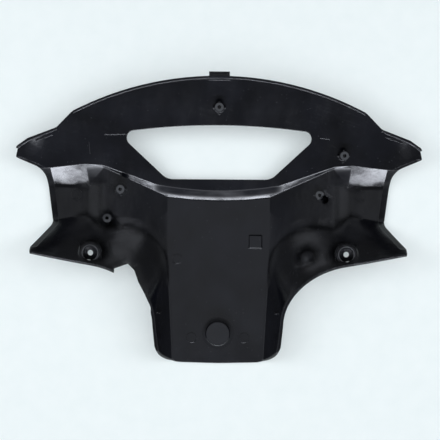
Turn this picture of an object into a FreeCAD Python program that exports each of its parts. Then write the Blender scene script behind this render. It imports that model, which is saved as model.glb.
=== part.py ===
import FreeCAD, Part
import math
import os
import re
import Sketcher
from FreeCAD import Placement, Rotation, Vector

doc = FreeCAD.newDocument("handlebar_cover")
sizes = doc.addObject("Spreadsheet::Sheet", "Sizes")

# Sizes in millimetres and degrees, X across the bar, Y up the brow, Z out of the hollow
driving = {
    "wall": 2.5,
    "side_wall": 3.0,
    "rim_level": 51.0,
    "rim_tilt": 9.6,
    "brow_round": 3.5,
    "reach": 180.0,
    "ceiling": 140.0,
    "panel_low_y": 31.0,
    "panel_low_z": 10.0,
    "panel_tilt": 20.5,
    "panel_bend_y": 85.0,
    "panel_bend": 5.0,
    "panel_bend_round": 600.0,
    "middle_x": 0.0,
    "middle_floor": 2.5,
    "middle_foot": 16.0,
    "middle_top": 25.0,
    "middle_round": 3.0,
    "bow_x": 27.0,
    "bow_floor": 2.5,
    "bow_foot": 16.9,
    "bow_top": 25.6,
    "bow_round": 3.0,
    "corner_x": 53.0,
    "corner_floor": 2.5,
    "corner_foot": 19.8,
    "corner_top": 28.5,
    "corner_round": 3.0,
    "peak_x": 118.0,
    "peak_floor": 15.5,
    "peak_foot": 49.3,
    "peak_top": 51.0,
    "peak_round": 2.5,
    "bay_x": 137.0,
    "bay_floor": 4.0,
    "bay_foot": 29.4,
    "bay_top": 53.0,
    "bay_round": 10.0,
    "end_x": 175.0,
    "end_floor": 4.5,
    "end_foot": 30.5,
    "end_top": 48.5,
    "end_round": 10.0,
    "past_x": 215.0,
    "past_floor": 5.0,
    "past_foot": 31.5,
    "past_top": 39.5,
    "past_round": 5.0,
    "low_end_y": -13.6,
    "low_pit_x": 56.1,
    "low_pit_y": 42.4,
    "low_pit_round": 58.2,
    "low_chin_x": 34.7,
    "plan_x": 225.0,
    "low_plan_z": -10.0,
    "high_plan_z": 80.0,
    "high_end_y": -40.5,
    "high_pit_x": 74.2,
    "high_pit_y": -131.4,
    "high_pit_round": 95.6,
    "high_chin_x": 94.3,
    "chin_reach": 280.0,
    "arch_top": 171.0,
    "arch_round": 336.0,
    "shoulder_x": 147.6,
    "shoulder_y": 104.0,
    "shoulder_round": 18.0,
    "neck_x": 163.9,
    "neck_y": 88.8,
    "neck_round": 12.0,
    "wing_x": 192.8,
    "wing_y": 77.7,
    "wing_round": 10.0,
    "crown_x": 204.1,
    "crown_y": 69.7,
    "crown_round": 4.0,
    "tip_x": 207.2,
    "tip_y": 58.9,
    "tip_round": 1.5,
    "throat_x": 178.6,
    "throat_y": 46.7,
    "throat_round": 18.0,
    "heel_x": 171.3,
    "heel_y": -8.5,
    "heel_round": 8.0,
    "toe_x": 188.3,
    "toe_y": -31.5,
    "toe_round": 2.5,
    "toe_back_x": 187.3,
    "toe_back_y": -43.0,
    "clear_y": -70.0,
    "clear_x": 66.0,
    "clear_low_y": -118.0,
    "chin_x": 62.0,
    "chin_y": -150.8,
    "chin_round": 27.0,
    "chin_end": -152.4,
    "chin_bow": 400.0,
    "window_top": 96.4,
    "window_bow": 680.0,
    "window_x": 103.0,
    "window_y": 84.2,
    "window_round": 7.5,
    "window_low_x": 53.4,
    "window_low_y": 38.0,
    "window_low_round": 16.0,
    "boss_radius": 4.6,
    "boss_height": 9.0,
    "pilot_radius": 1.7,
    "pilot_floor": 3.0,
    "rib_reach": 6.2,
    "rib_thick": 1.2,
    "rib_drop": 5.5,
    "brow_boss_x": 0.0,
    "brow_boss_y": 108.0,
    "right_boss_x": 126.8,
    "right_boss_y": 62.0,
    "left_boss_x": -100.5,
    "left_boss_y": 27.0,
    "low_boss_x": -113.4,
    "low_boss_y": -2.5,
    "stump_x": 103.6,
    "stump_y": 22.6,
    "stump_height": 2.6,
    "stump_tilt": 14.0,
    "stump_floor": 0.5,
    "scar_x": 108.6,
    "scar_y": 18.0,
    "scar_radius": 4.3,
    "scar_depth": 0.5,
    "seat_x": 128.2,
    "seat_y": -37.4,
    "seat_half": 11.0,
    "seat_round": 10.0,
    "seat_level": 38.5,
    "collar_radius": 9.6,
    "collar_bore": 7.4,
    "collar_height": 1.6,
    "fixing_radius": 2.8,
    "cup_y": -121.0,
    "cup_radius": 12.9,
    "cup_height": 8.0,
    "cup_bevel": 1.0,
    "mark_height": 0.4,
    "chin_mark_x": 27.4,
    "chin_mark_y": -126.0,
    "chin_mark_radius": 5.2,
    "arm_mark_x": 147.5,
    "arm_mark_y": 22.0,
    "arm_mark_radius": 5.5,
    "pit_mark_x": 90.3,
    "pit_mark_y": -41.0,
    "pit_mark_radius": 6.4,
    "pit_mark_level": 31.0,
    "side_mark_x": -42.4,
    "side_mark_y": -44.4,
    "side_mark_radius": 5.0,
    "date_x": 38.5,
    "date_y": -26.0,
    "date_side": 12.5,
    "date_height": 0.9,
    "tick_x": 57.5,
    "tick_y": -98.0,
    "tick_level": 30.0,
    "joggle_depth": 0.9,
    "joggle_width": 6.0,
    "tongue_width": 1.6,
    "tongue_height": 1.4,
    "curl_width": 2.4,
    "curl_level": 32.0,
    "lip_x": 177.6,
    "lip_y": 80.2,
    "lip_long": 18.0,
    "lip_wide": 5.0,
    "lip_turn": -20.0,
    "lip_lift": 0.8,
    "tab_half": 10.2,
    "tab_low": 134.0,
    "tab_high": 142.4,
    "tab_lift": 1.8,
    "tab_slot": 1.0,
    "break_mouth_x": -104.0,
    "break_mouth_y": -53.0,
    "break_top_x": -91.0,
    "break_top_y": -48.5,
    "break_step_x": -84.5,
    "break_step_y": -55.0,
    "break_notch_x": -80.0,
    "break_notch_y": -66.5,
    "break_slope_x": -73.5,
    "break_slope_y": -78.5,
    "break_end_x": -67.5,
    "break_end_y": -92.0,
    "rest_lift": 0.4,
}

stations = ("bow", "corner", "peak", "bay", "end", "past")
sides = (("left", "-"), ("right", ""))
below = "low_plan_z - wall"
raised = []
holes = []
pockets = []


def fill_sheet():
    for row, (name, value) in enumerate(driving.items(), start=1):
        sizes.set(f"A{row}", name)
        sizes.set(f"B{row}", str(value))
        sizes.setAlias(f"B{row}", name)
    doc.recompute()


# Words of a formula with each named size looked up in the sheet
def bound(words):
    def looked_up(word):
        return "Sizes." + word[0] if word[0] in driving else word[0]
    return re.sub(r"[a-z]\w*", looked_up, words)


# Present value of a formula, worked out by the sheet itself
def value_of(words):
    sizes.set("D1", "=" + words)
    sizes.recompute()
    return float(sizes.get("D1"))


def bind(thing, **settings):
    for name, words in settings.items():
        thing.setExpression(name.replace("__", "."), bound(words))


# Straight-ruled solid through sections, so that each station leaves a crisp crease
def loft(name, sections):
    solid = doc.addObject("Part::Loft", name)
    solid.Sections = sections
    solid.Solid = True
    solid.Ruled = True
    return solid


def fused(name, shapes):
    whole = doc.addObject("Part::MultiFuse", name)
    whole.Shapes = shapes
    return whole


def common(name, shapes):
    shared = doc.addObject("Part::MultiCommon", name)
    shared.Shapes = shapes
    return shared


def cut(name, base, tool):
    rest = doc.addObject("Part::Cut", name)
    rest.Base = base
    rest.Tool = tool
    return rest


# Closed wire a set distance outside (or inside) another
def grown(source, words, ending="_outside"):
    wider = doc.addObject("Part::Offset2D", source.Name + ending)
    wider.Source = source
    wider.Join = "Intersection"
    bind(wider, Value=words)
    return wider


# Upright prism on a plan sketch between two levels
def extruded(name, sketch, low, high):
    prism = doc.addObject("Part::Extrusion", name)
    prism.Base = sketch
    prism.Dir = Vector(0, 0, 1)
    prism.DirMode = "Custom"
    prism.Solid = True
    bind(prism, LengthFwd=high, LengthRev=f"-({low})")
    return prism


# Upright cylinder between two levels
def pin(name, x, y, radius, low, high):
    cylinder = doc.addObject("Part::Cylinder", name)
    bind(cylinder, Radius=radius, Height=f"{high} - ({low})")
    bind(cylinder, Placement__Base__x=x, Placement__Base__y=y, Placement__Base__z=low)
    return cylinder


# Upright block centred on a spot between two levels
def block(name, x, y, across, along, low, high):
    box = doc.addObject("Part::Box", name)
    bind(box, Length=across, Width=along, Height=f"{high} - ({low})")
    bind(box, Placement__Base__x=f"{x} - ({across}) / 2", Placement__Base__z=low)
    bind(box, Placement__Base__y=f"{y} - ({along}) / 2")
    return box


# Box that leans by a bound angle about the given axis through its own corner
def leaning_box(name, axis, angle, length, width, height):
    box = doc.addObject("Part::Box", name)
    bind(box, Length=length, Width=width, Height=height)
    box.Placement = Placement(Vector(0, 0, 0), Rotation(axis, value_of(angle)))
    bind(box, Placement__Rotation__Angle=angle)
    return box


# Where the arc at each corner starts and stops, its centre and the way it turns
def corner_pieces(points, rounds):
    pieces = []
    for i, corner in enumerate(points):
        if not rounds[i]:
            pieces.append((corner, corner, None, 0))
            continue
        back = (points[i - 1] - corner).normalize()
        ahead = (points[(i + 1) % len(points)] - corner).normalize()
        half = back.getAngle(ahead) / 2
        start = corner + back * (rounds[i] / math.tan(half))
        stop = corner + ahead * (rounds[i] / math.tan(half))
        centre = corner + (back + ahead).normalize() * (rounds[i] / math.sin(half))
        pieces.append((start, stop, centre, back.cross(ahead).z))
    return pieces


# Arc tangent to the two lines that meet at a corner, the corner kept as a construction point
def round_corner(sketch, corner, radius, piece, before, after, rounding):
    start, stop, centre, turn = piece
    left = turn < 0
    first, last = (start, stop) if left else (stop, start)
    low = math.atan2(first.y - centre.y, first.x - centre.x)
    high = math.atan2(last.y - centre.y, last.x - centre.x)
    circle = Part.Circle(centre, Vector(0, 0, 1), radius)
    arc = sketch.addGeometry(Part.ArcOfCircle(circle, low, high))
    spot = sketch.addGeometry(Part.Point(corner), True)
    sketch.addConstraint(Sketcher.Constraint("PointOnObject", spot, 1, before))
    sketch.addConstraint(Sketcher.Constraint("PointOnObject", spot, 1, after))
    sketch.addConstraint(Sketcher.Constraint("Tangent", before, 2, arc, 1 if left else 2))
    sketch.addConstraint(Sketcher.Constraint("Tangent", arc, 2 if left else 1, after, 1))
    index = sketch.addConstraint(Sketcher.Constraint("Radius", arc, radius))
    sketch.setExpression(f"Constraints[{index}]", bound(rounding))
    return spot


# Closed sketch through corners, each given as across, up and rounding
def outline(name, corners):
    sketch = doc.addObject("Sketcher::SketchObject", name)
    points = [Vector(value_of(across), value_of(up), 0) for across, up, rounding in corners]
    rounds = [value_of(rounding) if rounding else 0 for across, up, rounding in corners]
    pieces = corner_pieces(points, rounds)
    count = len(corners)
    for i in range(count):
        sketch.addGeometry(Part.LineSegment(pieces[i][1], pieces[(i + 1) % count][0]))
    for i, (across, up, rounding) in enumerate(corners):
        before = (i - 1) % count
        if rounding:
            spot = round_corner(sketch, points[i], rounds[i], pieces[i], before, i, rounding)
        else:
            sketch.addConstraint(Sketcher.Constraint("Coincident", before, 2, i, 1))
            spot = i
        for kind, words in (("DistanceX", across), ("DistanceY", up)):
            place = sketch.addConstraint(Sketcher.Constraint(kind, -1, 1, spot, 1, value_of(words)))
            sketch.setExpression(f"Constraints[{place}]", bound(words))
    return sketch


# Corners of a half outline followed by their mirror images
def mirrored(half):
    return half + [(x[1:] if x[0] == "-" else x, y, r) for x, y, r in reversed(half) if x != "0"]


# Turns a flat sketch to stand across the bar, its own X along Y and its own Y up
def stand_up(sketch):
    sketch.Placement = Placement(Vector(0, 0, 0), Rotation(Vector(1, 1, 1), 120))


# Inner face of the brow panel below its bend
def panel_level(y):
    return f"panel_low_z + ({y} - panel_low_y) * tan(panel_tilt)"


# Inner face of the brow panel above its bend
def brow_level(y):
    return f"{panel_level('panel_bend_y')} + ({y} - panel_bend_y) * tan(panel_tilt + panel_bend)"


# Inner floor at a distance from the middle, between two stations
def floor_level(x, near, far):
    rise = f"({far}_floor - {near}_floor) / ({far}_x - {near}_x)"
    return f"{near}_floor + (abs({x}) - {near}_x) * {rise}"


# Section of the hollow at one station along the bar: floor, ledge and brow panel
def skin_section(station, side, sign):
    sketch = outline(f"section_{station}_{side}", [
        ("-reach", f"{station}_floor", ""),
        (f"{station}_foot", f"{station}_floor", f"{station}_round"),
        (f"{station}_top", panel_level(f"{station}_top"), "brow_round"),
        ("panel_bend_y", panel_level("panel_bend_y"), "panel_bend_round"),
        ("reach", brow_level("reach"), ""),
        ("reach", "ceiling", ""),
        ("-reach", "ceiling", ""),
    ])
    stand_up(sketch)
    bind(sketch, Placement__Base__x=f"{sign}{station}_x")
    return sketch


def skin_sections():
    left = [skin_section(station, "left", "-") for station in reversed(stations)]
    right = [skin_section(station, "right", "") for station in stations]
    return left + [skin_section("middle", "bar", "")] + right


# Plan of the outside of the lower walls, armpits and chin flanks at one level
def side_plan(level):
    sketch = outline(f"{level}_plan", [
        ("plan_x", f"{level}_end_y", ""),
        ("plan_x", "reach", ""),
        ("-plan_x", "reach", ""),
        ("-plan_x", f"{level}_end_y", ""),
        (f"-{level}_pit_x", f"{level}_pit_y", f"{level}_pit_round"),
        (f"-{level}_chin_x", "-chin_reach", ""),
        (f"{level}_chin_x", "-chin_reach", ""),
        (f"{level}_pit_x", f"{level}_pit_y", f"{level}_pit_round"),
    ])
    bind(sketch, Placement__Base__z=f"{level}_plan_z")
    return sketch


# Rim of the whole cover seen from above
def cover_prism():
    plan = outline("cover_plan", mirrored([
        ("0", "arch_top", "arch_round"),
        ("-shoulder_x", "shoulder_y", "shoulder_round"),
        ("-neck_x", "neck_y", "neck_round"),
        ("-wing_x", "wing_y", "wing_round"),
        ("-crown_x", "crown_y", "crown_round"),
        ("-tip_x", "tip_y", "tip_round"),
        ("-throat_x", "throat_y", "throat_round"),
        ("-heel_x", "heel_y", "heel_round"),
        ("-toe_x", "toe_y", "toe_round"),
        ("-toe_back_x", "toe_back_y", ""),
        ("-toe_back_x", "clear_y", ""),
        ("-clear_x", "clear_low_y", ""),
        ("-chin_x", "chin_y", "chin_round"),
        ("0", "chin_end", "chin_bow"),
    ]))
    return extruded("cover_prism", plan, below, "ceiling")


# Everything above the sloping rim of the lower walls
def above_rim():
    box = leaning_box("above_rim", Vector(1, 0, 0), "rim_tilt", "2 * plan_x", "3 * reach", "ceiling")
    bind(box, Placement__Base__x="-plan_x", Placement__Base__y="-2 * reach * cos(rim_tilt)")
    bind(box, Placement__Base__z="rim_level - 2 * reach * sin(rim_tilt)")
    return box


# Cross of two gussets up to a level
def gussets(name, x, y, top):
    raised.append(block(name + "_rib_across", x, y, "2 * rib_reach", "rib_thick", below, top))
    raised.append(block(name + "_rib_along", x, y, "rib_thick", "2 * rib_reach", below, top))


# Screw boss with its gussets and pilot hole
def boss(name, level):
    x = f"{name}_boss_x"
    y = f"{name}_boss_y"
    top = f"{level} + boss_height"
    raised.append(pin(name + "_post", x, y, "boss_radius", below, top))
    gussets(name, x, y, f"{top} - rib_drop")
    holes.append(pin(name + "_pilot", x, y, "pilot_radius", f"{level} + pilot_floor", f"{top} + wall"))


# What is left of the snapped boss: a low slanted ring, its gusset roots and the scar beside it
def stump():
    floor = floor_level("stump_x", "corner", "peak")
    top = f"{floor} + stump_height"
    clear = f"{top} + boss_height"
    post = pin("stump_post", "stump_x", "stump_y", "boss_radius", below, f"{top} + boss_radius")
    half = "3 * boss_radius"
    span = f"2 * {half}"
    lid = leaning_box("stump_break", Vector(0, 1, 0), "stump_tilt", span, span, "boss_height")
    bind(lid, Placement__Base__x=f"stump_x - {half}", Placement__Base__y=f"stump_y - {half}")
    bind(lid, Placement__Base__z=f"{top} + {half} * sin(stump_tilt)")
    raised.append(cut("stump_rest", post, lid))
    gussets("stump", "stump_x", "stump_y", f"{top} - stump_height / 2")
    holes.append(pin("stump_pilot", "stump_x", "stump_y", "pilot_radius", f"{floor} + stump_floor", clear))
    holes.append(pin("scar", "scar_x", "scar_y", "scar_radius", f"{floor} - scar_depth", clear))


# Fixing seat on the lower wall: arched pillar, collar, screw hole and the pocket behind it
def seat(side, sign):
    x = f"{sign}seat_x"
    clear = "seat_level + 4 * wall"
    arch = outline("seat_" + side, [
        (f"{x} - seat_half", "seat_y - 2 * seat_half", ""),
        (f"{x} + seat_half", "seat_y - 2 * seat_half", ""),
        (f"{x} + seat_half", "seat_y + seat_half", "seat_round"),
        (f"{x} - seat_half", "seat_y + seat_half", "seat_round"),
    ])
    raised.append(extruded("seat_pillar_" + side, arch, below, "seat_level"))
    raised.append(pin("collar_" + side, x, "seat_y", "collar_radius", below, "seat_level + collar_height"))
    holes.append(pin("collar_bore_" + side, x, "seat_y", "collar_bore", "seat_level", clear))
    holes.append(pin("fixing_" + side, x, "seat_y", "fixing_radius", below, clear))
    pockets.append(pin("seat_pocket_" + side, x, "seat_y", "seat_half - wall", below, "seat_level - wall"))


# Round closed cup standing on the chin floor
def cup():
    top = "middle_floor + cup_height"
    raised.append(pin("cup_wall", "0", "cup_y", "cup_radius", below, f"{top} - cup_bevel"))
    cap = doc.addObject("Part::Cone", "cup_cap")
    bind(cap, Radius1="cup_radius", Radius2="cup_radius - cup_bevel", Height="cup_bevel")
    bind(cap, Placement__Base__y="cup_y", Placement__Base__z=f"{top} - cup_bevel")
    raised.append(cap)
    pockets.append(pin("cup_pocket", "0", "cup_y", "cup_radius - wall", below, f"{top} - wall"))


# Round ejector marks, each a low disc at its own level
def ejector_marks():
    floor = "middle_floor + mark_height"
    arm = floor_level("arm_mark_x", "bay", "end") + " + mark_height"
    for side, sign in sides:
        chin_x = f"{sign}chin_mark_x"
        arm_x = f"{sign}arm_mark_x"
        raised.append(pin("chin_mark_" + side, chin_x, "chin_mark_y", "chin_mark_radius", below, floor))
        raised.append(pin("arm_mark_" + side, arm_x, "arm_mark_y", "arm_mark_radius", below, arm))
    raised.append(pin("side_mark", "side_mark_x", "side_mark_y", "side_mark_radius", below, floor))
    raised.append(pin("pit_mark", "pit_mark_x", "pit_mark_y", "pit_mark_radius", below, "pit_mark_level"))


# Bare square mark on the floor
def square_mark():
    top = "middle_floor + date_height"
    raised.append(block("date_mark", "date_x", "date_y", "date_side", "date_side", below, top))


# Small rib across each chin flank
def ticks():
    for side, sign in sides:
        x = f"{sign}(tick_x + boss_radius)"
        raised.append(block("tick_" + side, x, "tick_y", "2 * boss_radius", "rib_thick", "0", "tick_level"))


# Instrument window through the brow panel
def window():
    opening = outline("window_outline", mirrored([
        ("0", "window_top", "window_bow"),
        ("-window_x", "window_y", "window_round"),
        ("-window_low_x", "window_low_y", "window_low_round"),
    ]))
    holes.append(extruded("window", opening, below, "ceiling"))


# Jagged break through the left armpit
def break_off():
    edge = outline("break_outline", [
        ("break_mouth_x", "break_mouth_y", ""),
        ("break_mouth_x", "clear_low_y", ""),
        ("break_end_x", "clear_low_y", ""),
        ("break_end_x", "break_end_y", ""),
        ("break_slope_x", "break_slope_y", ""),
        ("break_notch_x", "break_notch_y", ""),
        ("break_step_x", "break_step_y", ""),
        ("break_top_x", "break_top_y", ""),
    ])
    holes.append(extruded("break", edge, below, "ceiling"))


# Thin tongue raised along the brow edge, its top following the panel
def tongue():
    band = outline("tongue_band", [
        ("0", "arch_top + wall", "arch_round"),
        ("-shoulder_x", "shoulder_y + wall", ""),
        ("-shoulder_x + tongue_width", "shoulder_y - tongue_width", ""),
        ("0", "arch_top - tongue_width", "arch_round"),
        ("shoulder_x - tongue_width", "shoulder_y - tongue_width", ""),
        ("shoulder_x", "shoulder_y + wall", ""),
    ])
    room = outline("tongue_room", [
        ("panel_low_y", "panel_low_z + tongue_height", ""),
        ("panel_bend_y", f"{panel_level('panel_bend_y')} + tongue_height", "panel_bend_round"),
        ("reach", f"{brow_level('reach')} + tongue_height", ""),
        ("reach", "ceiling + wall", ""),
        ("panel_low_y", "ceiling + wall", ""),
    ])
    stand_up(room)
    space = doc.addObject("Part::Extrusion", "tongue_space")
    space.Base = room
    space.Dir = Vector(1, 0, 0)
    space.DirMode = "Custom"
    space.Solid = True
    space.Symmetric = True
    bind(space, LengthFwd="2 * plan_x")
    raised.append(cut("tongue", extruded("tongue_prism", band, below, "ceiling"), space))


# Upturned edge along the top of one wing, level on top so that it grows toward the tip
def curl(side, sign):
    band = outline("curl_" + side, [
        (f"{sign}neck_x", "neck_y + wall", ""),
        (f"{sign}(wing_x + wall)", "wing_y + wall", ""),
        (f"{sign}(crown_x + 2 * wall)", "crown_y + wall", ""),
        (f"{sign}(crown_x + 2 * wall)", "crown_y - curl_width - wall", ""),
        (f"{sign}(wing_x - curl_width / 2)", "wing_y - curl_width", ""),
        (f"{sign}neck_x", "neck_y - curl_width", ""),
    ])
    raised.append(extruded("curl_rim_" + side, band, below, "curl_level"))


# Stepped band inside each arm end, where the next housing laps over
def joggle(sections, plans):
    upper = [grown(section, "joggle_depth", "_joggle") for section in sections]
    lower = [grown(plan, "joggle_depth - side_wall", "_joggle") for plan in plans]
    deeper = common("joggle_core", [loft("joggle_upper", upper), loft("joggle_side", lower)])
    bands = []
    for side, sign in sides:
        edge = outline("joggle_band_" + side, [
            (f"{sign}plan_x", "tip_y", ""),
            (f"{sign}(tip_x - joggle_width)", "tip_y", ""),
            (f"{sign}(throat_x - joggle_width)", "throat_y", "throat_round"),
            (f"{sign}(heel_x - joggle_width)", "heel_y", "heel_round"),
            (f"{sign}(toe_x - joggle_width)", "toe_y", ""),
            (f"{sign}plan_x", "toe_y", ""),
        ])
        bands.append(extruded("joggle_prism_" + side, edge, below, "ceiling"))
    holes.append(common("joggle", [deeper, fused("joggle_bands", bands)]))


# Small lip that stands up over the top edge of one wing
def lip(side, sign):
    turn = f"{sign}lip_turn"
    plate = leaning_box("lip_" + side, Vector(0, 0, 1), turn, "lip_long", "lip_wide", "wall")
    half_long = "lip_long / 2"
    half_wide = "lip_wide / 2"
    x = f"{sign}lip_x - {half_long} * cos({turn}) + {half_wide} * sin({turn})"
    y = f"lip_y - {half_long} * sin({turn}) - {half_wide} * cos({turn})"
    bind(plate, Placement__Base__x=x, Placement__Base__y=y)
    bind(plate, Placement__Base__z=f"{panel_level('lip_y')} - wall + lip_lift")
    return plate


# Clip tab at the top of the brow, with a shallow slot
def tab():
    level = brow_level("tab_low")
    top = f"{level} + tab_lift"
    middle = "(tab_low + tab_high) / 2"
    plate = block("tab_plate", "0", middle, "2 * tab_half", "tab_high - tab_low", f"{level} - wall", top)
    slot_y = f"{middle} + wall / 2"
    slot_long = "2 * tab_half - 2 * wall"
    slot = block("tab_recess", "0", slot_y, slot_long, "wall", f"{top} - tab_slot", f"{top} + wall")
    return cut("tab", plate, slot)


# Bosses, seats and marks stand inside the hollow; holes and pockets are cut from the skin
def add_features():
    boss("brow", brow_level("brow_boss_y"))
    boss("right", panel_level("right_boss_y"))
    boss("left", floor_level("left_boss_x", "corner", "peak"))
    boss("low", floor_level("low_boss_x", "corner", "peak"))
    stump()
    cup()
    ejector_marks()
    square_mark()
    ticks()
    window()
    break_off()
    tongue()
    for side, sign in sides:
        seat(side, sign)
        curl(side, sign)


# Thin skin between the outer form and the hollow, trimmed to the rim, then drilled
def moulded_cover():
    sections = skin_sections()
    plans = [side_plan("low"), side_plan("high")]
    upper_core = loft("upper_core", sections)
    upper_form = loft("upper_form", [grown(section, "wall") for section in sections])
    side_core = loft("side_core", [grown(plan, "-side_wall") for plan in plans])
    side_form = loft("side_form", plans)
    add_features()
    joggle(sections, plans)
    whole_core = common("whole_core", [upper_core, side_core])
    whole_form = common("whole_form", [upper_form, side_form])
    hollow = cut("hollow", whole_core, fused("raised_features", raised))
    form = cut("form", whole_form, fused("outside_pockets", pockets))
    skin = cut("skin", form, hollow)
    trimmed = common("trimmed", [skin, cover_prism()])
    rimmed = cut("rimmed", trimmed, above_rim())
    drilled = cut("drilled", rimmed, fused("holes", holes))
    return fused("moulding", [drilled, tab(), lip("left", "-"), lip("right", "")])


def check_objects():
    for thing in doc.Objects:
        if "Invalid" in thing.State or "Error" in thing.State:
            raise RuntimeError(f"{thing.Name} did not build")
        if hasattr(thing, "Shape") and (thing.Shape.isNull() or not thing.Shape.isValid()):
            raise RuntimeError(f"{thing.Name} has no sound shape")


fill_sheet()
cover = doc.addObject("PartDesign::Body", "handlebar_cover")
cover.Label = "handlebar_cover"
cover.BaseFeature = moulded_cover()
bind(cover, Placement__Base__y="-(tab_high + chin_end) / 2", Placement__Base__z="rest_lift")
doc.recompute()
check_objects()
if len(cover.Shape.Solids) != 1:
    raise RuntimeError("the cover is not in one piece")
os.makedirs("parts", exist_ok=True)
cover.Shape.exportStep("parts/handlebar_cover.step")
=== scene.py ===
import math
import bmesh
import bpy
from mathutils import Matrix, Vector


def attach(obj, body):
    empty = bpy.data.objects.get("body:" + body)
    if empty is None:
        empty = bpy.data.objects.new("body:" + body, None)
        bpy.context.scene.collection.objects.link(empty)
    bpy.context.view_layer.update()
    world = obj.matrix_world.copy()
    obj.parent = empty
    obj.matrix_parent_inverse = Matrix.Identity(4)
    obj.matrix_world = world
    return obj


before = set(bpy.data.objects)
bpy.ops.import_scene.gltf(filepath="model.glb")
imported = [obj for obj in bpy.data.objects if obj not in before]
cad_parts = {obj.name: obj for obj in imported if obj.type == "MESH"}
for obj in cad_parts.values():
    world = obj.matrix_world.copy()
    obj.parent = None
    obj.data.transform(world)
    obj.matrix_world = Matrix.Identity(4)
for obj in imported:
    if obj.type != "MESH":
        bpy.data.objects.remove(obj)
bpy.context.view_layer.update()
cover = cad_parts["handlebar_cover"]
print("frame loaded")

scene = bpy.context.scene

cameraSpec = {
    "spot": (0.0015, 0.0013, 1.0),      # straight above the cover
    "roll": 0.43,                       # degrees, right tip a little lower
    "focal": 960.0, "image": 440.0,     # pixels
    "sensor": 36.0, "far": 20.0,        # millimetres and metres
}


def placeCamera(spec):
    data = bpy.data.cameras.new("topCamera")
    data.sensor_width = spec["sensor"]
    data.lens = spec["focal"] / spec["image"] * data.sensor_width
    data.clip_end = spec["far"]
    eye = bpy.data.objects.new("topCamera", data)
    eye.location = spec["spot"]
    eye.rotation_euler = (0.0, 0.0, math.radians(spec["roll"]))
    scene.collection.objects.link(eye)
    scene.camera = eye
    print("camera placed")


# node helpers

def addNode(tree, kind, settings=None, **values):
    node = tree.nodes.new(kind)
    for name, value in (settings or {}).items():
        setattr(node, name, value)
    for name, value in values.items():
        node.inputs[name.replace("_", " ")].default_value = value
    return node


def newGroup(name, inputs, outputs):
    group = bpy.data.node_groups.new(name, "ShaderNodeTree")
    kinds = {"value": "NodeSocketFloat", "vector": "NodeSocketVector"}
    for label, kind, start in inputs:
        socket = group.interface.new_socket(label, in_out="INPUT", socket_type=kinds[kind])
        socket.default_value = start
    for label, kind in outputs:
        group.interface.new_socket(label, in_out="OUTPUT", socket_type=kinds[kind])
    return group, group.nodes.new("NodeGroupInput"), group.nodes.new("NodeGroupOutput")


def useGroup(tree, group, place=None, **values):
    node = tree.nodes.new("ShaderNodeGroup")
    node.node_tree = group
    for name, value in values.items():
        node.inputs[name].default_value = value
    if place:
        tree.links.new(place, node.inputs["Position"])
    return node


def doMath(tree, operation, first, second=None, clamp=False):
    node = addNode(tree, "ShaderNodeMath", {"operation": operation, "use_clamp": clamp})
    for slot, value in enumerate((first, second)):
        if value is None:
            continue
        if isinstance(value, (int, float)):
            node.inputs[slot].default_value = value
        else:
            tree.links.new(value, node.inputs[slot])
    return node.outputs["Value"]


def mixColour(tree, factor, first, second):
    node = addNode(tree, "ShaderNodeMix", {"data_type": "RGBA"})
    tree.links.new(factor, node.inputs["Factor"])
    for name, value in (("A", first), ("B", second)):
        if isinstance(value, tuple):
            node.inputs[name].default_value = value
        else:
            tree.links.new(value, node.inputs[name])
    return node.outputs["Result"]


# cloudy noise between two values, stretched by the given proportions
def makeMottle():
    group, given, result = newGroup("mottle", [
        ("Position", "vector", (0, 0, 0)),
        ("Stretch", "vector", (1, 1, 1)),
        ("Scale", "value", 40.0),
        ("Detail", "value", 4.0),
        ("Low", "value", 0.0),
        ("High", "value", 1.0),
    ], [("Value", "value")])
    link = group.links.new
    scaled = addNode(group, "ShaderNodeVectorMath", {"operation": "MULTIPLY"})
    noise = addNode(group, "ShaderNodeTexNoise")
    spread = addNode(group, "ShaderNodeMapRange", None, From_Min=0.3, From_Max=0.7)
    link(given.outputs["Position"], scaled.inputs[0])
    link(given.outputs["Stretch"], scaled.inputs[1])
    link(scaled.outputs["Vector"], noise.inputs["Vector"])
    link(given.outputs["Scale"], noise.inputs["Scale"])
    link(given.outputs["Detail"], noise.inputs["Detail"])
    link(noise.outputs["Fac"], spread.inputs["Value"])
    link(given.outputs["Low"], spread.inputs["To Min"])
    link(given.outputs["High"], spread.inputs["To Max"])
    link(spread.outputs["Result"], result.inputs["Value"])
    return group


# sparse small dots, one in each noise cell that is picked
def makeSpecks():
    group, given, result = newGroup("specks", [
        ("Position", "vector", (0, 0, 0)),
        ("Scale", "value", 300.0),
        ("Size", "value", 0.12),
        ("Share", "value", 0.2),
    ], [("Mask", "value")])
    link = group.links.new
    cells = addNode(group, "ShaderNodeTexVoronoi")
    pick = addNode(group, "ShaderNodeSeparateColor")
    link(given.outputs["Position"], cells.inputs["Vector"])
    link(given.outputs["Scale"], cells.inputs["Scale"])
    link(cells.outputs["Color"], pick.inputs["Color"])
    near = doMath(group, "LESS_THAN", cells.outputs["Distance"], given.outputs["Size"])
    chosen = doMath(group, "LESS_THAN", pick.outputs["Red"], given.outputs["Share"])
    link(doMath(group, "MULTIPLY", near, chosen), result.inputs["Mask"])
    return group


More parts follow.
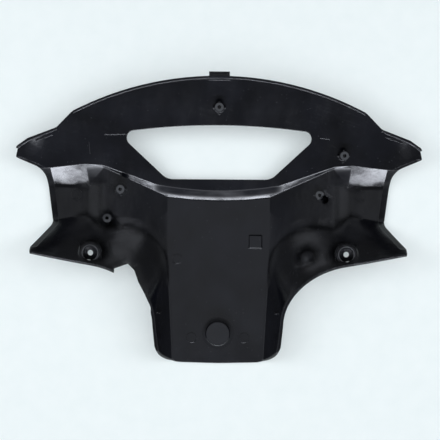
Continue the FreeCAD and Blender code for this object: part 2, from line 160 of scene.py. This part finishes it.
# thin broken lines running along one direction
def makeScratches():
    group, given, result = newGroup("scratches", [
        ("Position", "vector", (0, 0, 0)),
        ("Turn", "value", 0.6),
        ("Scale", "value", 60.0),
        ("Share", "value", 0.5),
    ], [("Mask", "value")])
    link = group.links.new
    turned = addNode(group, "ShaderNodeVectorRotate", {"rotation_type": "Z_AXIS"})
    thin = addNode(group, "ShaderNodeVectorMath", {"operation": "MULTIPLY"})
    thin.inputs[1].default_value = (0.04, 1.0, 0.3)
    line = addNode(group, "ShaderNodeTexNoise", None, Detail=2.0, Distortion=0.3)
    patch = addNode(group, "ShaderNodeTexNoise", None, Scale=35.0, Detail=2.0)
    link(given.outputs["Position"], turned.inputs["Vector"])
    link(given.outputs["Turn"], turned.inputs["Angle"])
    link(turned.outputs["Vector"], thin.inputs[0])
    link(thin.outputs["Vector"], line.inputs["Vector"])
    link(given.outputs["Scale"], line.inputs["Scale"])
    link(given.outputs["Position"], patch.inputs["Vector"])
    off = doMath(group, "ABSOLUTE", doMath(group, "SUBTRACT", line.outputs["Fac"], 0.5))
    crest = addNode(group, "ShaderNodeMapRange", None, From_Min=0.0, From_Max=0.012, To_Min=1.0, To_Max=0.0)
    link(off, crest.inputs["Value"])
    bare = doMath(group, "SUBTRACT", 1.0, given.outputs["Share"])
    there = doMath(group, "GREATER_THAN", patch.outputs["Fac"], bare)
    link(doMath(group, "MULTIPLY", crest.outputs["Result"], there), result.inputs["Mask"])
    return group


# how near a point is to a straight mark, 1 on it and 0 past its width
def makeStroke():
    group, given, result = newGroup("stroke", [
        ("Position", "vector", (0, 0, 0)),
        ("Start", "vector", (0, 0, 0)),
        ("End", "vector", (0.01, 0, 0)),
        ("Width", "value", 0.0005),
    ], [("Mask", "value")])
    link = group.links.new

    def vectorMath(operation, first, second):
        node = addNode(group, "ShaderNodeVectorMath", {"operation": operation})
        link(first, node.inputs[0])
        link(second, node.inputs[1])
        return node

    flat = addNode(group, "ShaderNodeVectorMath", {"operation": "MULTIPLY"})
    flat.inputs[1].default_value = (1, 1, 0)
    link(given.outputs["Position"], flat.inputs[0])
    run = vectorMath("SUBTRACT", given.outputs["End"], given.outputs["Start"]).outputs["Vector"]
    away = vectorMath("SUBTRACT", flat.outputs["Vector"], given.outputs["Start"]).outputs["Vector"]
    along = vectorMath("DOT_PRODUCT", away, run).outputs["Value"]
    length = vectorMath("DOT_PRODUCT", run, run).outputs["Value"]
    share = doMath(group, "DIVIDE", along, length, clamp=True)
    foot = addNode(group, "ShaderNodeVectorMath", {"operation": "SCALE"})
    link(run, foot.inputs[0])
    link(share, foot.inputs["Scale"])
    gap = vectorMath("DISTANCE", away, foot.outputs["Vector"]).outputs["Value"]
    fade = addNode(group, "ShaderNodeMapRange", {"interpolation_type": "SMOOTHSTEP"}, To_Min=1.0, To_Max=0.0)
    link(gap, fade.inputs["Value"])
    link(given.outputs["Width"], fade.inputs["From Max"])
    link(fade.outputs["Result"], result.inputs["Mask"])
    return group


# 1 between two distances from an upright axis
def makeRing():
    group, given, result = newGroup("ring", [
        ("Position", "vector", (0, 0, 0)),
        ("Centre", "vector", (0, 0, 0)),
        ("Inner", "value", 0.001),
        ("Outer", "value", 0.002),
        ("Fade", "value", 0.0003),
    ], [("Mask", "value")])
    link = group.links.new
    flat = addNode(group, "ShaderNodeVectorMath", {"operation": "MULTIPLY"})
    flat.inputs[1].default_value = (1, 1, 0)
    away = addNode(group, "ShaderNodeVectorMath", {"operation": "DISTANCE"})
    link(given.outputs["Position"], flat.inputs[0])
    link(flat.outputs["Vector"], away.inputs[0])
    link(given.outputs["Centre"], away.inputs[1])
    past = doMath(group, "GREATER_THAN", away.outputs["Value"], given.outputs["Inner"])
    left = doMath(group, "SUBTRACT", given.outputs["Outer"], away.outputs["Value"])
    within = doMath(group, "DIVIDE", left, given.outputs["Fade"], clamp=True)
    link(doMath(group, "MULTIPLY", past, within), result.inputs["Mask"])
    return group


mottle = makeMottle()
specks = makeSpecks()
scratches = makeScratches()
stroke = makeStroke()
ring = makeRing()

plasticSpec = {
    "dark": (0.0014, 0.0016, 0.0030, 1), "pale": (0.0070, 0.0076, 0.0112, 1),
    # the pale grey here colours real dust specks and also the painted highlights on boss, collar and cup tops
    "worn": (0.060, 0.062, 0.066, 1), "dustAndHighlight": (0.16, 0.165, 0.17, 1),
    "cloud": {"Scale": 17.0, "Detail": 7.0, "Low": 0.12, "High": 0.21},     # roughness
    "flow": {"Scale": 60.0, "Detail": 3.0, "Low": -0.03, "High": 0.04, "Stretch": (1.0, 0.12, 1.0)},
    "streaks": {"Scale": 70.0, "Detail": 4.0, "Low": 0.45, "High": 1.2, "Stretch": (0.3, 1.0, 1.0)},
    "tone": {"Scale": 24.0, "Detail": 6.0}, "patchy": {"Scale": 160.0, "Detail": 4.0},
    "grain": {"Scale": 1100.0, "Detail": 2.0}, "wave": {"Scale": 42.0, "Detail": 3.0},
    "scuffs": [{"Turn": 0.35, "Scale": 300.0, "Share": 0.46}, {"Turn": 1.9, "Scale": 240.0, "Share": 0.44}],
    "dots": {"Scale": 420.0, "Size": 0.14, "Share": 0.06},
    # the boss, collar and cup top tints are painted highlights; scuff, wear, weld and dots are real marks
    "tint": {"scuff": 0.03, "wear": 0.55, "weld": 0.45, "paintedTopHighlight": 0.42, "paintedCupSheen": 0.06, "dots": 0.35},
    "dulling": {"scuff": 0.06, "wear": 0.2, "halo": 0.35},      # added roughness
    "bump": {                                                   # strength and metres
        "wave": (0.22, 0.0006), "grain": (0.10, 0.00005), "weld": (0.8, 0.0003), "square": (1.0, 0.0012),
    },
    "rimRadius": 0.0006,
    "rimTurn": (0.99, 0.86),                    # cosines of the turn where wear starts and is full
    "levelFace": 0.9,                           # least upward lean of a face that takes a ring
    "softZones": [                              # radius, then measure, where it starts and where it is full
        (0.016, [("Wide", 0.046, 0.056), ("Wide", 0.150, 0.125), ("Y", 0.012, 0.002), ("Y", -0.085, -0.055)]),
        (0.004, [("Wide", 0.0445, 0.0475), ("Y", -0.020, -0.040)]),
        (0.012, [("Wide", 0.100, 0.112), ("Wide", 0.152, 0.144), ("Y", 0.048, 0.036), ("Z", 0.036, 0.026)]),
        (0.006, [("Wide", 0.066, 0.054), ("Bowed", 0.0245, 0.028), ("Bowed", 0.040, 0.036)]),
    ],
    "ledgeBow": 1.353,                          # the ledge's foot follows this much of X squared
    "endSlant": 0.132,                          # the arm ends lean outward by this much of Y
    "dullZones": [                              # added roughness, then limits as above
        (0.78, [("Wide", 0.070, 0.056), ("Bowed", 0.0228, 0.0268), ("Bowed", 0.0325, 0.0302)]),
        (0.75, [("Slant", 0.1652, 0.1660), ("Y", 0.000, 0.006), ("Y", 0.0545, 0.052)]),
        (0.75, [("Slant", 0.13, 0.1275), ("Wide", 0.11, 0.116), ("Y", 0.034, 0.040), ("Y", 0.0565, 0.0510)]),
    ],
    "paintedTopHighlight": [                                 # painted highlight on the level tops of bosses and collars: centre, inner and outer radius
        ((0.0, 0.1130, 0), 0.0019, 0.0044),
        ((0.1268, 0.0670, 0), 0.0019, 0.0044),
        ((-0.1005, 0.0320, 0), 0.0019, 0.0044),
        ((-0.1134, 0.0025, 0), 0.0019, 0.0044),
        ((0.1036, 0.0276, 0), 0.0019, 0.0044),
        ((-0.1282, -0.0324, 0), 0.0074, 0.0084),
        ((0.1282, -0.0324, 0), 0.0074, 0.0084),
    ],
    "halos": [                                  # dull rings round the cup and a boss
        ((0.0, -0.116, 0), 0.0129, 0.0170),
        ((-0.1005, 0.0320, 0), 0.0046, 0.0080),
    ],
    "paintedCupSheen": [((0.0, -0.116, 0), 0.0, 0.0118)],    # painted sheen: the flat top of the cup is tinted lighter
    "squareEdge": [
        ("X", 0.0310, 0.0326), ("X", 0.0460, 0.0444), ("Y", -0.0284, -0.0268), ("Y", -0.0136, -0.0152),
    ],
    "ringFade": {"paintedTopHighlight": 0.0003, "halos": 0.003, "paintedCupSheen": 0.0008},
    "weldLines": [                              # flow marks left beside the window
        ((-0.1157, 0.0869, 0), (-0.0944, 0.0873, 0), 0.0006),
        ((0.1025, 0.0847, 0), (0.1116, 0.0841, 0), 0.0006),
        ((-0.1319, 0.0790, 0), (-0.1314, 0.0688, 0), 0.0005),
    ],
}


def takeMeasures(tree, place, spec):
    axes = addNode(tree, "ShaderNodeSeparateXYZ")
    tree.links.new(place, axes.inputs["Vector"])
    x, y, z = axes.outputs
    wide = doMath(tree, "ABSOLUTE", x)
    bow = doMath(tree, "MULTIPLY", doMath(tree, "MULTIPLY", x, x), spec["ledgeBow"])
    lean = doMath(tree, "MULTIPLY", y, spec["endSlant"])
    bowed = doMath(tree, "SUBTRACT", y, bow)
    slant = doMath(tree, "SUBTRACT", wide, lean)
    return {"X": x, "Wide": wide, "Y": y, "Z": z, "Bowed": bowed, "Slant": slant}


def zoneMask(tree, measures, zone):
    mask = 1.0
    for name, none, full in zone:
        ramp = addNode(tree, "ShaderNodeMapRange", {"interpolation_type": "SMOOTHSTEP"})
        ramp.inputs["From Min"].default_value = none
        ramp.inputs["From Max"].default_value = full
        tree.links.new(measures[name], ramp.inputs["Value"])
        mask = doMath(tree, "MULTIPLY", ramp.outputs["Result"], mask)
    return mask


def ringMask(tree, place, spec, kind):
    upright = addNode(tree, "ShaderNodeSeparateXYZ")
    tree.links.new(addNode(tree, "ShaderNodeNewGeometry").outputs["True Normal"], upright.inputs["Vector"])
    facing = doMath(tree, "GREATER_THAN", upright.outputs["Z"], spec["levelFace"])
    fade = spec["ringFade"][kind]
    mask = 0.0
    for centre, inner, outer in spec[kind]:
        mark = useGroup(tree, ring, place, Centre=centre, Inner=inner, Outer=outer, Fade=fade)
        mask = doMath(tree, "MAXIMUM", mark.outputs["Mask"], mask)
    return doMath(tree, "MULTIPLY", mask, facing)


def softenEdges(tree, measures, spec):
    radius = spec["rimRadius"]
    for wide, zone in spec["softZones"]:
        share = doMath(tree, "MULTIPLY", zoneMask(tree, measures, zone), wide)
        radius = doMath(tree, "MAXIMUM", share, radius)
    soft = addNode(tree, "ShaderNodeBevel", {"samples": 10})
    tree.links.new(radius, soft.inputs["Radius"])
    return soft.outputs["Normal"]


# 1 on the sharp edges, where the rim's rounded normal leaves the face's own
def wearMask(tree, place, spec):
    surface = addNode(tree, "ShaderNodeNewGeometry")
    rim = addNode(tree, "ShaderNodeBevel", {"samples": 6}, Radius=spec["rimRadius"])
    turned = addNode(tree, "ShaderNodeVectorMath", {"operation": "DOT_PRODUCT"})
    tree.links.new(rim.outputs["Normal"], turned.inputs[0])
    tree.links.new(surface.outputs["True Normal"], turned.inputs[1])
    edge = addNode(tree, "ShaderNodeMapRange")
    edge.inputs["From Min"].default_value, edge.inputs["From Max"].default_value = spec["rimTurn"]
    tree.links.new(turned.outputs["Value"], edge.inputs["Value"])
    patchy = useGroup(tree, mottle, place, **spec["patchy"])
    return doMath(tree, "MULTIPLY", edge.outputs["Result"], patchy.outputs["Value"])


def surfaceMarks(tree, place, spec):
    scuff = 0.0
    for lines in spec["scuffs"]:
        scuff = doMath(tree, "MAXIMUM", useGroup(tree, scratches, place, **lines).outputs["Mask"], scuff)
    weld = 0.0
    for start, end, width in spec["weldLines"]:
        mark = useGroup(tree, stroke, place, Start=start, End=end, Width=width).outputs["Mask"]
        weld = doMath(tree, "MAXIMUM", mark, weld)
    return {
        "scuff": scuff,
        "wear": wearMask(tree, place, spec),
        "weld": weld,
        # painted highlight: the level tops of bosses and collars are tinted lighter
        "paintedTopHighlight": ringMask(tree, place, spec, "paintedTopHighlight"),
        # painted sheen: the flat top of the cup is tinted lighter
        "paintedCupSheen": ringMask(tree, place, spec, "paintedCupSheen"),
        "halo": ringMask(tree, place, spec, "halos"),
        "dots": useGroup(tree, specks, place, **spec["dots"]).outputs["Mask"],
    }


def plasticColour(tree, place, marks, spec):
    tone = useGroup(tree, mottle, place, **spec["tone"])
    colour = mixColour(tree, tone.outputs["Value"], spec["dark"], spec["pale"])
    for mark, tint in spec["tint"].items():
        # worn grey goes on scuffs, edge wear and weld lines; the pale grey on dust specks and on the painted
        # top highlights
        over = spec["worn"] if mark in ("scuff", "wear", "weld") else spec["dustAndHighlight"]
        colour = mixColour(tree, doMath(tree, "MULTIPLY", marks[mark], tint), colour, over)
    return colour


def plasticGloss(tree, place, marks, measures, spec):
    cloud = useGroup(tree, mottle, place, **spec["cloud"])
    flow = useGroup(tree, mottle, place, **spec["flow"])
    streaks = useGroup(tree, mottle, place, **spec["streaks"])
    rough = doMath(tree, "ADD", cloud.outputs["Value"], flow.outputs["Value"])
    for mark, amount in spec["dulling"].items():
        rough = doMath(tree, "ADD", rough, doMath(tree, "MULTIPLY", marks[mark], amount))
    for amount, zone in spec["dullZones"]:
        dull = doMath(tree, "MULTIPLY", zoneMask(tree, measures, zone), amount)
        rough = doMath(tree, "ADD", rough, doMath(tree, "MULTIPLY", dull, streaks.outputs["Value"]))
    return rough


# slight sink waves, fine grain, raised weld lines and the edge of the bare square
def plasticRelief(tree, place, marks, measures, spec):
    heights = {
        "wave": useGroup(tree, mottle, place, **spec["wave"]).outputs["Value"],
        "grain": useGroup(tree, mottle, place, **spec["grain"]).outputs["Value"],
        "weld": marks["weld"],
        "square": zoneMask(tree, measures, spec["squareEdge"]),
    }
    normal = softenEdges(tree, measures, spec)
    for name, (strength, distance) in spec["bump"].items():
        bump = addNode(tree, "ShaderNodeBump", None, Strength=strength, Distance=distance)
        tree.links.new(heights[name], bump.inputs["Height"])
        tree.links.new(normal, bump.inputs["Normal"])
        normal = bump.outputs["Normal"]
    return normal


def makePlastic(spec):
    material = bpy.data.materials.new("blackMouldedPlastic")
    material.use_nodes = True
    tree = material.node_tree
    shader = tree.nodes["Principled BSDF"]
    place = addNode(tree, "ShaderNodeTexCoord").outputs["Object"]
    measures = takeMeasures(tree, place, spec)
    marks = surfaceMarks(tree, place, spec)
    tree.links.new(plasticColour(tree, place, marks, spec), shader.inputs["Base Color"])
    tree.links.new(plasticGloss(tree, place, marks, measures, spec), shader.inputs["Roughness"])
    tree.links.new(plasticRelief(tree, place, marks, measures, spec), shader.inputs["Normal"])
    return material


def dressCover():
    plastic = makePlastic(plasticSpec)
    cover.data.materials.clear()
    cover.data.materials.append(plastic)
    print("cover dressed")
    return plastic


# hollow sweep of each wing up into its turned edge
wingSpec = {
    "edge": [(0.1700, 0.0890), (0.1916, 0.0803), (0.2030, 0.0735)],     # foot of the turned edge, neck to tip
    "reach": [0.014, 0.020, 0.010],                                     # spread of the sweep at those places
    "swell": 0.0023, "panelStart": (0.036, 0.0104), "panelTilt": 20.5,  # metres and degrees
    "bury": 0.0003, "sink": 0.0005, "dip": 0.0001,                      # into the edge and the panel
    "stations": 28, "rows": 12, "sharp": 40.0,
}


def between(x, places, values):
    for (first, low), (last, high) in zip(zip(places, values), list(zip(places, values))[1:]):
        if x <= last:
            break
    return low + (high - low) * (x - first) / (last - first)


def sweepRows(spec, side):
    places = [x for x, y in spec["edge"]]
    startY, startZ = spec["panelStart"]
    slope = math.tan(math.radians(spec["panelTilt"]))
    upper, lower = [], []
    for station in range(spec["stations"] + 1):
        x = places[0] + (places[-1] - places[0]) * station / spec["stations"]
        edge = between(x, places, [y for x, y in spec["edge"]])
        reach = between(x, places, spec["reach"])
        along = (x - places[0]) / (places[-1] - places[0])
        rise = spec["swell"] * math.sin(math.pi * along) ** 2
        for row in range(spec["rows"] + 1):
            share = row / spec["rows"]
            y = edge - reach * (1 - share) + spec["bury"] * share
            panel = startZ + (y - startY) * slope
            upper.append((side * x, y, panel + rise * share ** 2 - spec["dip"] * (1 - share)))
            lower.append((side * x, y, panel - spec["sink"]))
    return upper, lower


def makeWing(name, side, spec, plastic):
    upper, lower = sweepRows(spec, side)
    wide = spec["rows"] + 1
    half = len(upper)
    faces = []
    for station in range(spec["stations"]):
        for row in range(spec["rows"]):
            a = station * wide + row
            faces.append((a, a + 1, a + 1 + wide, a + wide))
            faces.append((a + half, a + half + wide, a + half + 1 + wide, a + half + 1))
    front = [station * wide for station in range(spec["stations"] + 1)]
    back = [a + spec["rows"] for a in front]
    ends = [list(range(wide)), list(range(half - wide, half))]
    for line in [front, back] + ends:
        faces.extend((a, b, b + half, a + half) for a, b in zip(line, line[1:]))
    mesh = bpy.data.meshes.new(name)
    mesh.from_pydata(upper + lower, [], faces)
    shape = bmesh.new()
    shape.from_mesh(mesh)
    bmesh.ops.recalc_face_normals(shape, faces=shape.faces)
    shape.to_mesh(mesh)
    shape.free()
    mesh.shade_smooth()
    mesh.set_sharp_from_angle(angle=math.radians(spec["sharp"]))
    mesh.materials.append(plastic)
    wing = bpy.data.objects.new(name, mesh)
    scene.collection.objects.link(wing)
    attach(wing, "root")
    return wing


def makeWings(plastic):
    sides = {"leftWingSweep": -1, "rightWingSweep": 1}
    wings = [makeWing(name, side, wingSpec, plastic) for name, side in sides.items()]
    print("wings swept")
    return wings


tableSpec = {
    "half": 3.0, "roughness": 0.75,
    "pale": (0.86, 0.905, 0.92, 1), "shade": (0.835, 0.885, 0.90, 1),
    "tone": {"Scale": 55.0, "Detail": 7.0},
}


def makeTable(spec):
    half = spec["half"]
    corners = [(-half, -half, 0), (half, -half, 0), (half, half, 0), (-half, half, 0)]
    mesh = bpy.data.meshes.new("table")
    mesh.from_pydata(corners, [], [(0, 1, 2, 3)])
    table = bpy.data.objects.new("table", mesh)
    scene.collection.objects.link(table)
    material = bpy.data.materials.new("paleTable")
    material.use_nodes = True
    tree = material.node_tree
    shader = tree.nodes["Principled BSDF"]
    shader.inputs["Roughness"].default_value = spec["roughness"]
    place = addNode(tree, "ShaderNodeTexCoord").outputs["Object"]
    tone = useGroup(tree, mottle, place, **spec["tone"])
    colour = mixColour(tree, tone.outputs["Value"], spec["shade"], spec["pale"])
    tree.links.new(colour, shader.inputs["Base Color"])
    mesh.materials.append(material)
    print("table laid")
    return table


lightSpecs = {
    "tableWash": {"spot": (0.0, -0.15, 1.60), "size": (2.4, 2.2), "power": 5.0, "lights": "table"},
    "tableFill": {
        "spot": (0.0, -0.15, 1.60), "size": (2.4, 2.2), "power": 22.3, "lights": "table", "shaded": "table",
    },
    "leftKey": {"spot": (-1.25, 0.20, 1.15), "size": (0.8, 0.8), "power": 6.5, "lights": "table"},
    "rightKey": {"spot": (1.25, 0.20, 1.15), "size": (0.8, 0.8), "power": 6.0, "lights": "table"},
    "leftGlow": {"spot": (-1.25, 0.10, 1.05), "size": (1.7, 1.5), "power": 4.5, "lights": "cover"},
    "rightGlow": {"spot": (1.25, 0.10, 1.05), "size": (1.7, 1.5), "power": 4.2, "lights": "cover"},
    "frontWindow": {"spot": (0.0, -1.83, 0.82), "size": (1.8, 0.42), "power": 47.0, "lights": "cover"},
    "ceiling": {"spot": (0.0, 0.0, 2.2), "size": (1.1, 1.1), "power": 1.6, "lights": "cover"},
    "leftRear": {"spot": (-0.55, 1.6, 0.95), "size": (0.6, 0.6), "power": 1.0, "lights": "cover"},
    "rightRear": {"spot": (0.55, 1.6, 0.95), "size": (0.6, 0.6), "power": 1.0, "lights": "cover"},
}
lightTints = {"table": (0.95, 0.985, 0.99), "cover": (0.86, 0.90, 0.99)}
roomSpec = {"colour": (0.92, 0.96, 1.0, 1), "strength": 0.16}


def gather(name, things):
    held = bpy.data.collections.new(name)
    for thing in things:
        held.objects.link(thing)
    return held


def placeLights(groups):
    for name, spec in lightSpecs.items():
        data = bpy.data.lights.new(name, "AREA")
        data.shape = "RECTANGLE"
        data.size, data.size_y = spec["size"]
        data.energy = spec["power"]
        data.color = lightTints[spec["lights"]]
        lamp = bpy.data.objects.new(name, data)
        lamp.location = spec["spot"]
        lamp.rotation_euler = (-Vector(spec["spot"])).to_track_quat("-Z", "Y").to_euler()
        scene.collection.objects.link(lamp)
        lamp.light_linking.receiver_collection = gather(name + "Lit", groups[spec["lights"]])
        if "shaded" in spec:                    # only these throw a shadow in its light
            lamp.light_linking.blocker_collection = gather(name + "Shaded", groups[spec["shaded"]])
    world = bpy.data.worlds.new("room")
    world.use_nodes = True
    background = world.node_tree.nodes["Background"]
    background.inputs["Color"].default_value = roomSpec["colour"]
    background.inputs["Strength"].default_value = roomSpec["strength"]
    scene.world = world
    scene.view_settings.view_transform = "Standard"
    print("lights placed")


placeCamera(cameraSpec)
wings = makeWings(dressCover())
table = makeTable(tableSpec)
placeLights({"cover": [cover] + wings, "table": [table]})
